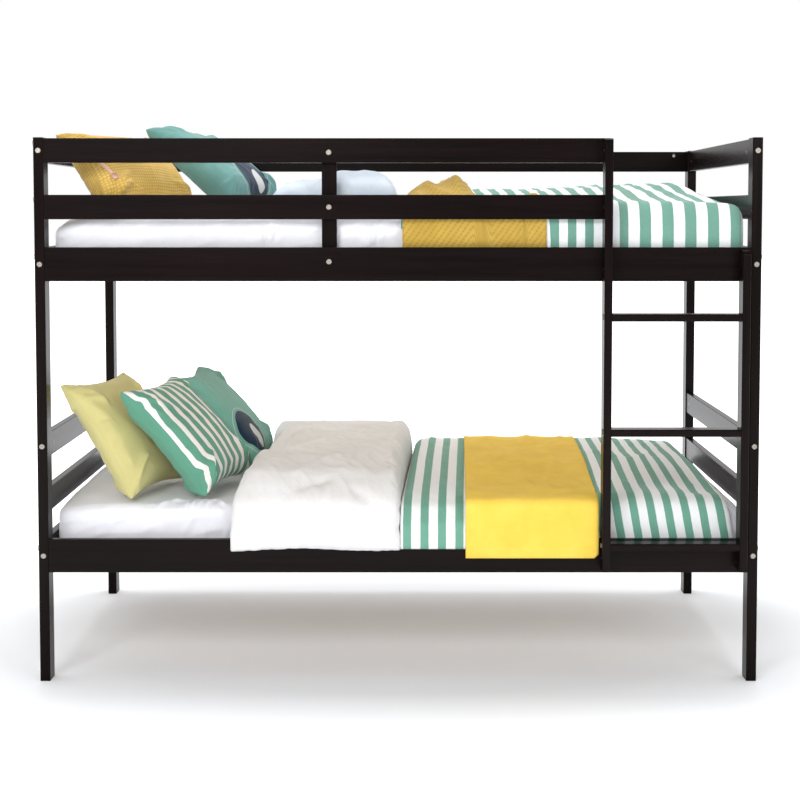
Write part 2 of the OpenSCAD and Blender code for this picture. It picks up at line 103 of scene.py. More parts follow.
def rounded_path(points, radius, step):
    """Points step apart along a polyline whose corners are smoothed over about radius."""
    p = np.array(points, float)
    fine = 0.001
    lengths = np.linalg.norm(np.diff(p, axis=0), axis=1)
    at = np.concatenate([[0], np.cumsum(lengths)])
    s = np.arange(0, at[-1], fine)
    line = np.stack([np.interp(s, at, p[:, k]) for k in range(2)], 1)
    reach = max(1, int(radius / fine))
    kernel = np.hanning(2 * reach + 3)[1:-1]
    kernel /= kernel.sum()
    full = np.vstack([2 * line[0] - line[reach:0:-1], line, 2 * line[-1] - line[-2:-reach - 2:-1]])
    line = np.stack([np.convolve(full[:, k], kernel, "valid") for k in range(2)], 1)
    at = np.concatenate([[0], np.cumsum(np.linalg.norm(np.diff(line, axis=0), axis=1))])
    s = np.linspace(0, at[-1], max(2, int(round(at[-1] / step)) + 1))
    return np.stack([np.interp(s, at, line[:, k]) for k in range(2)], 1), at[-1]


def grid_normals(p):
    """Unit normals of a grid of points (rows, columns, 3)."""
    n = np.cross(np.gradient(p, axis=0), np.gradient(p, axis=1))
    return n / np.maximum(np.linalg.norm(n, axis=2, keepdims=True), 1e-12)


# ---- meshes

def placed(name, data):
    """A new object in the scene."""
    o = bpy.data.objects.new(name, data)
    bpy.context.scene.collection.objects.link(o)
    return o


def mesh_piece(name, points, faces, material, flat=None):
    """A smooth closed mesh of quads, faces outwards, that rides on the bedding of the bunk in its name, or else on
    the upper bunk's. flat holds each vertex's place on the flat cloth."""
    points, faces = np.asarray(points, float), np.asarray(faces)
    corner = points[faces]
    volume = (corner[:, 0] * (np.cross(corner[:, 1], corner[:, 2]) + np.cross(corner[:, 2], corner[:, 3]))).sum()
    if volume < 0:
        faces = faces[:, ::-1]
    mesh = bpy.data.meshes.new(name)
    mesh.from_pydata(points.tolist(), [], faces.tolist())
    mesh.validate()
    mesh.shade_smooth()
    if flat is not None:
        mesh.attributes.new("flat", "FLOAT_VECTOR", "POINT").data.foreach_set(
            "vector", np.asarray(flat, np.float32).ravel())
    mesh.materials.append(material)
    o = placed(name, mesh)
    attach(o, "lower_bedding" if name.startswith("lower") else "upper_bedding")
    return o


def quads(rows, columns, start=0, flip=False):
    """The faces of a grid of points that are numbered row by row from start."""
    i = np.arange(rows * columns).reshape(rows, columns) + start
    q = np.stack([i[:-1, :-1], i[1:, :-1], i[1:, 1:], i[:-1, 1:]], -1).reshape(-1, 4)
    return q[:, ::-1] if flip else q


def layered(name, top, under, u, v, material):
    """A closed piece of cloth from the grids of its two faces, joined round their edge. u and v are its flat
    places."""
    rows, columns = top.shape[:2]
    count = rows * columns
    i = np.arange(count).reshape(rows, columns)
    rim = np.concatenate([i[0, :-1], i[:-1, -1], i[-1, :0:-1], i[:0:-1, 0]])
    after = np.roll(rim, -1)
    sides = np.stack([rim, after, after + count, rim + count], 1)
    faces = np.vstack([quads(rows, columns), quads(rows, columns, count, True), sides])
    flat = np.stack([u, v, u * 0], -1)
    points, flat = (np.concatenate(pair).reshape(-1, 3) for pair in ((top, under), (flat, flat)))
    return mesh_piece(name, points, faces, material, flat)


STIFFNESS = 15.0


def settle(o, frames, pressure, swell, bend, cap, pinned=()):
    """Runs Blender's cloth on o and gives its points, none moved further than cap. The points in pinned stay."""
    rest = np.zeros(len(o.data.vertices) * 3, np.float32)
    o.data.vertices.foreach_get("co", rest)
    rest = rest.reshape(-1, 3)
    scene = bpy.context.scene
    cloth = o.modifiers.new("Cloth", "CLOTH")
    s = cloth.settings
    s.quality, s.mass, s.air_damping = 6, 0.3, 2.0
    s.tension_stiffness = s.compression_stiffness = STIFFNESS
    s.shear_stiffness, s.bending_stiffness = STIFFNESS / 3, bend
    s.use_pressure, s.uniform_pressure_force = True, pressure
    s.shrink_min = s.shrink_max = -swell
    s.effector_weights.gravity = 0
    cloth.collision_settings.use_collision = False
    cloth.collision_settings.use_self_collision = False
    cloth.point_cache.frame_start, cloth.point_cache.frame_end = 1, frames
    if len(pinned):
        o.vertex_groups.new(name="pinned").add(list(pinned), 1.0, "REPLACE")
        s.vertex_group_mass = "pinned"
    for f in range(1, frames + 1):
        scene.frame_set(f)
    made = o.evaluated_get(bpy.context.evaluated_depsgraph_get()).to_mesh()
    moved = np.zeros(len(made.vertices) * 3, np.float32)
    made.vertices.foreach_get("co", moved)
    o.to_mesh_clear()
    o.modifiers.remove(cloth)
    scene.frame_set(1)
    shift = moved.reshape(-1, 3) - rest
    far = np.linalg.norm(shift, axis=1, keepdims=True)
    return rest + shift * np.minimum(1, cap / np.maximum(far, 1e-9))


def write_points(o, points):
    o.data.vertices.foreach_set("co", np.asarray(points, np.float32).ravel())
    o.data.update()


def subdivide(o):
    m = o.modifiers.new("Smooth", "SUBSURF")
    m.levels = m.render_levels = 1


# ---- materials

class Nodes:
    """Short ways to build one material's nodes."""

    def __init__(self, name, roughness, specular=0.5, **inputs):
        self.material = bpy.data.materials.new(name)
        self.material.use_nodes = True
        self.tree = self.material.node_tree
        self.shader = self.tree.nodes["Principled BSDF"]
        self.shader.inputs["Roughness"].default_value = roughness
        self.shader.inputs["Specular IOR Level"].default_value = specular
        for key, value in inputs.items():
            self.shader.inputs[key.replace("_", " ")].default_value = value

    def put(self, kind, **sockets):
        node = self.tree.nodes.new(kind)
        for key, value in sockets.items():
            self.plug(node.inputs[int(key[1:]) if key[1:].isdigit() else key.replace("_", " ")], value)
        return node

    def plug(self, socket, value):
        if isinstance(value, bpy.types.NodeSocket):
            self.tree.links.new(value, socket)
        elif isinstance(value, bpy.types.Node):
            self.tree.links.new(value.outputs[0], socket)
        else:
            socket.default_value = value

    def place(self):
        """World position at rest: the CAD nodes and the pieces are modelled in place."""
        return self.tree.nodes.new("ShaderNodeTexCoord").outputs["Object"]

    def flat(self):
        node = self.tree.nodes.new("ShaderNodeAttribute")
        node.attribute_name = "flat"
        return node.outputs["Vector"]

    def scaled(self, vector, scale):
        return self.put("ShaderNodeMapping", Vector=vector, Scale=scale)

    def noise(self, vector, scale, detail=3.0, rough=0.55, distortion=0.0):
        return self.put("ShaderNodeTexNoise", Vector=vector, Scale=scale, Detail=detail, Roughness=rough,
                        Distortion=distortion)

    def math(self, operation, a, b=0.5, c=0.5):
        node = self.tree.nodes.new("ShaderNodeMath")
        node.operation = operation
        for socket, value in zip(node.inputs, (a, b, c)):
            self.plug(socket, value)
        return node.outputs[0]

    def times(self, a, b):
        return self.math("MULTIPLY", a, b)

    def plus(self, a, b):
        return self.math("ADD", a, b)

    def minus(self, a, b):
        return self.math("SUBTRACT", a, b)

    def wave(self, value, period):
        return self.math("SINE", self.times(value, TAU / period))

    def axis(self, vector, which):
        return self.put("ShaderNodeSeparateXYZ", Vector=vector).outputs[which]

    def spread(self, value, low, high, to_low=0.0, to_high=1.0):
        return self.put("ShaderNodeMapRange", Value=value, From_Min=low, From_Max=high, To_Min=to_low,
                        To_Max=to_high).outputs[0]

    def mix(self, share, a, b):
        node = self.tree.nodes.new("ShaderNodeMix")
        node.data_type = "RGBA"
        self.plug(node.inputs[0], share)
        self.plug(node.inputs[6], a)
        self.plug(node.inputs[7], b)
        return node.outputs[2]

    def dyed(self, flat, scale, detail, dark, light):
        """A colour that varies between two over the cloth."""
        return self.mix(self.spread(self.noise(flat, scale, detail), 0.3, 0.7), dark, light)

    def bump(self, height, depth, strength, under=None):
        node = self.put("ShaderNodeBump", Height=height, Distance=depth, Strength=strength)
        if under is not None:
            self.plug(node.inputs["Normal"], under)
        return node.outputs[0]

    def done(self, colour=None, normal=None, roughness=None):
        for key, value in (("Base Color", colour), ("Normal", normal), ("Roughness", roughness)):
            if value is not None:
                self.plug(self.shader.inputs[key], value)
        return self.material


def rgb(r, g, b):
    """A linear colour from sRGB numbers up to 255."""
    line = [c / 255 / 12.92 if c <= 10 else ((c / 255 + 0.055) / 1.055) ** 2.4 for c in (r, g, b)]
    return (*line, 1.0)


def wood(name, along, dark, light, roughness, specular, ring):
    """Wood with even straight grain along one axis, fine pores and slightly worn patches."""
    n = Nodes(name, roughness, specular)
    stretch, pore_stretch = [1.0, 1.0, 1.0], [1.0, 1.0, 1.0]
    stretch[along], pore_stretch[along] = 0.03, 0.02
    place = n.place()
    line = n.scaled(place, stretch)
    figure = n.noise(line, 48.0, 4.0, 0.6)
    fine = n.noise(line, 300.0, 2.0, 0.7)
    pores = n.noise(n.scaled(place, pore_stretch), 700.0, 1.0)
    tone = n.noise(place, 1.6, 1.0)
    share = n.plus(n.times(figure, ring), n.times(fine, 1 - ring))
    share = n.plus(share, n.math("MULTIPLY_ADD", tone, 0.3, -0.15))
    colour = n.mix(n.spread(share, 0.35, 0.68), dark, light)
    height = n.plus(n.times(fine, 0.5), n.times(pores, 0.5))
    wear = n.spread(n.noise(line, 9.0, 3.0), 0.3, 0.75, roughness - 0.04, roughness + 0.06)
    return n.done(colour, n.bump(height, 0.0003, 0.35, n.bump(figure, 0.0004, 0.2)), wear)


def cloth(name, colour_of, roughness, thread, weave, crumple, sheen=0.15):
    """Woven cloth, its thread and crumple heights in metres. colour_of(nodes, flat) gives its dyed colour."""
    n = Nodes(name, roughness, 0.2, Sheen_Weight=sheen, Sheen_Roughness=0.5)
    flat = n.flat()
    u, v = n.axis(flat, 0), n.axis(flat, 1)
    threads = n.math("MULTIPLY_ADD", n.times(n.wave(u, thread), n.wave(v, thread)), 0.5, 0.5)
    slub = n.noise(n.scaled(flat, (90, 900, 90)), 1.0, 2.0)
    soft = n.noise(flat, 38.0, 4.0, 0.6, 0.8)
    base = colour_of(n, flat)
    shade = n.plus(n.spread(slub, 0.3, 0.7, 0.94, 1.02), n.spread(threads, 0, 1, -0.05, 0.03))
    colour = n.put("ShaderNodeVectorMath", _0=base, _1=shade)
    colour.operation = "MULTIPLY"
    first = n.bump(soft, crumple * 4, 0.35)
    second = n.bump(threads, thread * 0.35, weave, first)
    return n.done(colour.outputs[0], second, n.spread(soft, 0.3, 0.7, roughness - 0.05, min(1, roughness + 0.05)))


def plain(*colour):
    """A dyed colour that varies a little over the cloth."""
    def of(n, flat):
        return n.dyed(flat, 7.0, 3.0, rgb(*[c * 0.965 for c in colour]), rgb(*colour))
    return of


def striped(green, white, period, share, start=0.0, plain_below=None, wide_from=None, wide=1.0):
    """Stripes along the cloth, in metres: a green one begins at start, and share is the green part of each period.
    Cloth below plain_below is all green, on a cushion's back 100 mm more of it. Beyond wide_from the stripes are
    wider by the factor wide."""
    def of(n, flat):
        across = n.axis(flat, 0)
        if wide_from is not None:
            beyond = n.math("MAXIMUM", n.minus(across, wide_from), 0.0)
            across = n.minus(across, n.times(beyond, 1 - 1 / wide))
        # FRACT needs numbers above zero, so the cloth starts fifty periods along.
        across = n.plus(across, 50 * period - start)
        wobble = n.spread(n.noise(flat, 60.0, 2.0), 0, 1, -0.0007, 0.0007)
        place = n.math("FRACT", n.math("DIVIDE", n.plus(across, wobble), period))
        edge = 0.012
        up = n.spread(place, 0.0, edge)
        down = n.spread(place, share, share + edge, 1.0, 0.0)
        dyed = n.dyed(flat, 9.0, 3.0, rgb(*[c * 0.95 for c in green]), rgb(*green))
        share_dyed = n.times(up, down)
        if plain_below is not None:
            side = n.math("MULTIPLY_ADD", n.axis(flat, 2), 0.1, n.minus(n.axis(flat, 0), 0.1))
            beside = n.spread(side, plain_below, plain_below + edge * period, 1.0, 0.0)
            share_dyed = n.math("MAXIMUM", share_dyed, beside)
        return n.mix(share_dyed, rgb(*white), dyed)
    return of


def with_disc(ground, navy, pale, centre, radius):
    """A plain cloth with a navy disc on its front, a pale oval in the disc and a thin pale arc beside it."""
    def of(n, flat):
        base = plain(*ground)(n, flat)
        x, y = n.minus(n.axis(flat, 0), centre[0]), n.minus(n.axis(flat, 1), centre[1])
        front = n.spread(n.axis(flat, 2), 0.45, 0.55)

        def inside(dx, dy, rx, ry):
            """How far a place is from the middle of an oval, where its edge is 1."""
            a, b = n.math("DIVIDE", n.minus(x, dx), rx), n.math("DIVIDE", n.minus(y, dy), ry)
            return n.math("SQRT", n.plus(n.times(a, a), n.times(b, b)))

        disc = n.times(n.spread(inside(0, 0, radius, radius), 0.98, 1.0, 1.0, 0.0), front)
        oval = n.times(n.spread(inside(0.02, -0.02, 0.03, 0.045), 0.95, 1.0, 1.0, 0.0), front)
        ring = inside(0, 0, radius * 1.14, radius * 1.14)
        arc = n.times(n.spread(ring, 0.975, 0.985), n.spread(ring, 1.0, 1.01, 1.0, 0.0))
        arc = n.times(n.times(arc, front), 0.75)
        return n.mix(oval, n.mix(arc, n.mix(disc, base, rgb(*navy)), rgb(*pale)), rgb(*pale))
    return of


ESPRESSO_DARK, ESPRESSO_LIGHT = (0.0030, 0.0016, 0.0017, 1), (0.0085, 0.0040, 0.0038, 1)
PINE_DARK, PINE_LIGHT = (0.46, 0.29, 0.14, 1), (0.72, 0.54, 0.33, 1)
espresso = [wood(f"espresso_{a}", i, ESPRESSO_DARK, ESPRESSO_LIGHT, 0.25, 0.065, 0.6) for i, a in enumerate("xyz")]
pine = wood("pine", 1, PINE_DARK, PINE_LIGHT, 0.55, 0.3, 0.75)
pine_pins = wood("pine_pins", 0, PINE_DARK, PINE_LIGHT, 0.6, 0.3, 0.6)

metal = Nodes("nickel", 0.34, Metallic=1.0)
scratch = metal.noise(metal.place(), 900.0, 3.0)
nickel = metal.done(metal.mix(metal.noise(metal.place(), 60.0), (0.24, 0.22, 0.19, 1), (0.40, 0.37, 0.33, 1)),
                    metal.bump(scratch, 0.0002, 0.4), metal.spread(scratch, 0.3, 0.7, 0.28, 0.42))

sheet_white = cloth("sheet_white", plain(238, 238, 243), 0.88, 0.0010, 0.15, 0.0010)
duvet_white = cloth("duvet_white", plain(240, 239, 239), 0.95, 0.0010, 0.12, 0.0016, 0.02)
# The upper duvet is the same white duvet cloth, painted darker and bluer as painted shade.
duvet_white_shaded = cloth("duvet_white_shaded", plain(206, 216, 226), 0.92, 0.0010, 0.12, 0.0016, 0.1)
lining_white = cloth("lining_white", plain(228, 228, 226), 0.92, 0.0012, 0.2, 0.0010)
quilt_stripes = cloth("quilt_stripes", striped((112, 166, 146), (236, 238, 238), 0.0481, 0.47, 0.013),
                      0.9, 0.0011, 0.18, 0.0014)
upper_stripes = cloth("upper_stripes", striped((110, 156, 140), (228, 232, 232), 0.0476, 0.50, 0.419,
                                               wide_from=0.633, wide=1.313), 0.9, 0.0011, 0.18, 0.0014)
cushion_stripes = cloth("cushion_stripes", striped((96, 156, 132), (234, 228, 224), 0.048, 0.58, 0.013,
                                                   plain_below=-0.2), 0.9, 0.0013, 0.25, 0.0014)
NAVY, PALE = (22, 44, 66), (206, 208, 204)
teal = cloth("teal", with_disc((116, 170, 156), NAVY, PALE, (-0.095, -0.085), 0.080), 0.88, 0.0011, 0.22, 0.0012)
# The upper teal cushion is the same teal cotton as the lower one, its ground painted a little darker as painted
# shade.
teal_upper_shaded = cloth("teal_upper_shaded", with_disc((108, 156, 150), NAVY, PALE, (0.020, -0.105), 0.088),
                   0.88, 0.0011, 0.22, 0.0012)
olive = cloth("olive", plain(209, 200, 136), 0.88, 0.0012, 0.22, 0.0014)


def waffle():
    """Mustard waffle-weave cotton: raised ribs round sunk squares, their light and shade painted into the colour."""
    n = Nodes("waffle", 0.9, 0.2, Sheen_Weight=0.15)
    flat = n.flat()
    cell = 0.0092
    ribs = [n.math("POWER", n.math("ABSOLUTE", n.wave(n.axis(flat, k), 2 * cell)), 1.6) for k in (0, 1)]
    height = n.minus(1.0, n.times(*ribs))
    # Painted light and shade: lit is the mustard in the middle of each sunk square, and a darker shaded copy (168,
    # 132, 58) is mixed in towards the ribs by the weave's height.
    lit = n.dyed(flat, 12.0, 4.0, rgb(206, 170, 84), rgb(222, 188, 104))
    colour = n.mix(n.spread(height, 0.35, 0.98, 0.0, 0.6), lit, rgb(168, 132, 58))
    fuzz = n.noise(flat, 1500.0, 2.0)
    return n.done(colour, n.bump(fuzz, 0.0006, 0.3, n.bump(height, 0.0014, 0.4)))


def knit():
    """Slanting rows of knitted stitches, with painted shade in their hollows."""
    n = Nodes("knit", 0.95, 0.12, Sheen_Weight=0.12, Sheen_Roughness=0.6)
    flat = n.flat()
    u, v = n.axis(flat, 0), n.axis(flat, 1)
    row = n.wave(n.plus(u, n.times(v, 0.75)), 0.017)
    stitch = n.wave(n.minus(v, n.times(u, 0.3)), 0.010)
    height = n.math("MULTIPLY_ADD", n.times(row, n.math("MULTIPLY_ADD", stitch, 0.35, 0.65)), 0.5, 0.5)
    base = n.dyed(flat, 9.0, 4.0, rgb(172, 140, 57), rgb(186, 157, 75))
    # Painted shade: a darker copy of the mustard (158, 124, 48) fills the hollows between the stitches.
    colour = n.mix(n.spread(height, 0.0, 0.5), rgb(158, 124, 48), base)
    fuzz = n.noise(flat, 900.0, 3.0)
    return n.done(colour, n.bump(fuzz, 0.0008, 0.35, n.bump(height, 0.0022, 0.45)))


def wool():
    """Bright yellow twill with fine slubs across it."""
    n = Nodes("wool", 0.95, 0.1, Sheen_Weight=0.06, Sheen_Roughness=0.6)
    flat = n.flat()
    u, v = n.axis(flat, 0), n.axis(flat, 1)
    twill, cross = n.wave(n.plus(u, v), 0.0045), n.wave(n.minus(u, v), 0.003)
    height = n.math("MULTIPLY_ADD", n.plus(twill, n.times(cross, 0.3)), 0.38, 0.5)
    tone = n.noise(flat, 11.0, 5.0, 0.6)
    slub = n.noise(n.scaled(flat, (30, 260, 30)), 1.0, 3.0)
    base = n.mix(n.spread(tone, 0.3, 0.7), rgb(234, 196, 76), rgb(245, 208, 92))
    colour = n.mix(n.spread(slub, 0.58, 0.72, 0.0, 0.28), base, rgb(222, 182, 64))
    fuzz = n.noise(flat, 1300.0, 3.0)
    return n.done(colour, n.bump(fuzz, 0.0006, 0.35, n.bump(height, 0.0014, 0.3)))


mustard_waffle, mustard_knit, yellow_wool = waffle(), knit(), wool()


def button_material():
    n = Nodes("button", 0.35, 0.5)
    place = n.place()
    return n.done(n.mix(n.noise(n.scaled(place, (1, 1, 6)), 90.0, 3.0), rgb(150, 104, 84), rgb(206, 164, 142)),
                  n.bump(n.noise(place, 700.0, 2.0), 0.0003, 0.3))


def tape_material():
    n = Nodes("tape", 0.85, 0.2, Sheen_Weight=0.1)
    place = n.place()
    return n.done(n.mix(n.noise(place, 300.0, 2.0), rgb(206, 160, 140), rgb(230, 192, 172)),
                  n.bump(n.noise(place, 1400.0, 2.0), 0.0004, 0.4))


# ---- the frame's own finish

def finish_of(node):
    if node in ("upper_slats", "lower_slats"):
        return pine
    if node == "dowels":
        return pine_pins
    if any(word in node for word in ("bolts", "nuts", "screws")):
        return nickel
    if any(word in node for word in ("post", "stile", "brace")):
        return espresso[2]
    return espresso[1] if node.startswith(("left_", "right_")) else espresso[0]


for name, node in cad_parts.items():
    node.data.materials.clear()
    node.data.materials.append(finish_of(name))


# ---- mattresses and fitted sheets

def spaced(reach, step, close):
    """Grid lines from -reach to reach: step apart, and closer together inside the ranges of close."""
    x = np.linspace(-reach, reach, 4001)
    density = np.full(x.shape, 1 / step)
    for low, high, small in close:
        density[(x > low) & (x < high)] = 1 / small
    count = np.concatenate([[0], np.cumsum((density[1:] + density[:-1]) / 2 * np.diff(x))])
    return np.interp(np.linspace(0, count[-1], int(round(count[-1])) + 1), count, x)


def rounded_box_points(half_x, half_y, height, plan_r, edge_r, under, step, close_x=(), close_y=()):
    """The grid of a fitted cover: places on the box, its flat coordinates, and the distance over its edge."""
    side = height - 2 * edge_r
    arc = edge_r * math.pi / 2
    total = plan_r - edge_r + 2 * arc + side + under
    reach_x, reach_y = half_x - plan_r + total, half_y - plan_r + total
    a, b = np.meshgrid(spaced(reach_x, step, close_x), spaced(reach_y, step, close_y), indexing="ij")
    da, db = np.maximum(np.abs(a) - (half_x - plan_r), 0), np.maximum(np.abs(b) - (half_y - plan_r), 0)
    s = np.maximum(da, db)
    away = np.maximum(np.hypot(da, db), 1e-9)
    ux, uy = da / away * np.sign(a), db / away * np.sign(b)
    t1 = s - (plan_r - edge_r)
    t2, t3, t4 = t1 - arc, t1 - arc - side, t1 - 2 * arc - side
    angle = np.clip(t1, 0, arc) / edge_r
    lower = np.clip(t3, 0, arc) / edge_r
    out = np.minimum(s, plan_r - edge_r) + edge_r * np.sin(angle) - edge_r * (1 - np.cos(lower)) - np.maximum(t4, 0)
    z = height - edge_r * (1 - np.cos(angle)) - np.clip(t2, 0, side) - edge_r * np.sin(lower)
    x = np.clip(a, -(half_x - plan_r), half_x - plan_r) + ux * out
    y = np.clip(b, -(half_y - plan_r), half_y - plan_r) + uy * out
    return np.stack([x, y, z], -1), a, b, s, total


# How far the front corner at the head end sinks.
SINK = {"upper": 0.030, "lower": 0.012}
TICKING_INSET = 0.003
TUCKED = 0.055
HEM = 0.014


def bed(level, close, wrinkles):
    """A mattress in its ticking, and the fitted sheet over it. wrinkles are pleats at the sheet's flat places, and
    close the ranges along the bed where its grid is finer."""
    node = f"{level}_mattress"
    low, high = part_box(node)
    middle, (long, wide, tall) = (low + high) / 2, high - low
    place = np.array([middle.x, middle.y, low.z])

    def sunk(x, y, z):
        corner = np.exp(-((x + long / 2) / 0.075) ** 2 - ((y + wide / 2) / 0.16) ** 2)
        return SINK[level] * corner * ease(z, 0.05, tall)

    shell, a, b, s, total = rounded_box_points(long / 2 - TICKING_INSET, wide / 2 - TICKING_INSET,
                                               tall - 2 * TICKING_INSET, 0.057, 0.027, 0.0, 0.020)
    shell[..., 2] += TICKING_INSET
    # The underside is one flat, lightly quilted panel that closes the shell.
    lid = shell.copy()
    edge = s > total - 1e-6
    lid[..., 0] = np.where(edge, lid[..., 0], a * (long / 2 - 0.03) / np.abs(a).max())
    lid[..., 1] = np.where(edge, lid[..., 1], b * (wide / 2 - 0.03) / np.abs(b).max())
    lid[..., 2] = np.where(edge, lid[..., 2], TICKING_INSET + 0.0015 * np.cos(a * 42) * np.cos(b * 42))
    shell[..., 2] -= sunk(*np.moveaxis(shell, 2, 0))
    core = layered(node + "_ticking", shell + place, lid + place, a, b, lining_white)
    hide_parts(node)

    p, a, b, s, total = rounded_box_points(long / 2, wide / 2, tall, 0.06, 0.03, TUCKED, 0.011, close,
                                           [(-0.56, -0.40, 0.0045)])
    x, y, z = np.moveaxis(p, 2, 0)
    n = grid_normals(p)
    n = n * np.sign(n[len(n) // 2, n.shape[1] // 2, 2])
    on_side = (1 - ease(z, tall - 0.02, tall - 0.002)) * ease(z, 0.004, 0.03)
    at_ends = ease(np.abs(x), long / 2 - 0.03, long / 2 - 0.005)
    drag = (0.0045 * creases(x + y, z * 1.5, 64, 0.060, 0.20, 23, 1.6)
            + 0.0035 * creases(x + y, z, 14, 0.050, 0.25, 29, 1.6))
    elastic = 0.0020 * (0.5 + 0.5 * np.sin(np.arctan2(y, x) * 150)) * ease(s, total - 0.10, total - 0.02)
    wave = 0.0022 * clouds(x, y, 0.30, 11) + on_side * drag * (1 - 0.6 * at_ends)
    # The sheet lies flatter under the quilts, towards the foot end.
    wave = wave * (1 - 0.75 * ease(x, -0.03, 0.05)) + elastic + pleats(a, b, wrinkles)
    wave = np.where(z < 0.012, np.minimum(wave, 0.0008) - 0.0004, wave)
    outer = p + n * wave[..., None]
    outer[..., 2] -= sunk(x, y, z)
    thick = 0.0012 + 0.0012 * ease(s, total - HEM, total - HEM + 0.004)
    inner = outer - n * thick[..., None]
    # The cloth lies between the ticking and the slats.
    inner[..., 2] = np.maximum(inner[..., 2] + 0.0014, 0.0020)
    outer[..., 2] = np.maximum(outer[..., 2] + 0.0014, 0.0006)
    cover = layered(f"{level}_fitted_sheet", outer + place, inner + place, a, b, sheet_white)
    width, length = 2 * np.abs(b).max(), 2 * np.abs(a).max()


bed("upper", [(-0.40, -0.31, 0.0045), (-0.17, -0.01, 0.0045)], [
    (-0.364, -0.508, 72, 0.048, 0.006, 0.011), (-0.347, -0.510, 68, 0.046, 0.006, 0.010),
    (-0.064, -0.508, 65, 0.050, 0.007, 0.012), (-0.042, -0.512, 68, 0.036, 0.006, 0.009),
    (-0.108, -0.515, 80, 0.030, 0.010, 0.006), (-0.156, -0.514, 80, 0.022, 0.005, 0.005)])
bed("lower", [(-0.70, -0.46, 0.0045)], [
    (-0.590, -0.445, 75, 0.042, 0.005, 0.006), (-0.571, -0.445, 67, 0.050, 0.006, 0.009),
    (-0.552, -0.443, 64, 0.052, 0.006, 0.010), (-0.530, -0.441, 66, 0.048, 0.006, 0.009),
    (-0.500, -0.440, 115, 0.042, 0.006, 0.008), (-0.645, -0.438, 30, 0.050, 0.007, 0.007),
    (-0.620, -0.428, 40, 0.046, 0.007, 0.006)])


# ---- cushions

def turned(points, yaw, lean, roll):
    """Turns points from a cushion's own axes (X out of its face, Y across, Z up) into the bed's."""
    y, l, r = (math.radians(v) for v in (yaw, -lean, roll))
    rz = np.array([[math.cos(y), -math.sin(y), 0], [math.sin(y), math.cos(y), 0], [0, 0, 1]])
    ry = np.array([[math.cos(l), 0, math.sin(l)], [0, 1, 0], [-math.sin(l), 0, math.cos(l)]])
    rx = np.array([[1, 0, 0], [0, math.cos(r), -math.sin(r)], [0, math.sin(r), math.cos(r)]])
    return points @ (rz @ ry @ rx).T


def unrolled(grid, axis):
    """Each grid point's distance along the cloth from the middle row or column."""
    step = np.linalg.norm(np.diff(grid, axis=axis), axis=2)
    far = np.insert(np.cumsum(step, axis=axis), 0, 0, axis=axis)
    return far - np.take(far, [grid.shape[axis] // 2], axis=axis)


COVER_WIDTH, COVER_THICKNESS, COVER_CELLS = 0.402, 0.128, 56
# How much of a cushion's lowest part is pressed flat by its weight.
SQUASH = 0.012


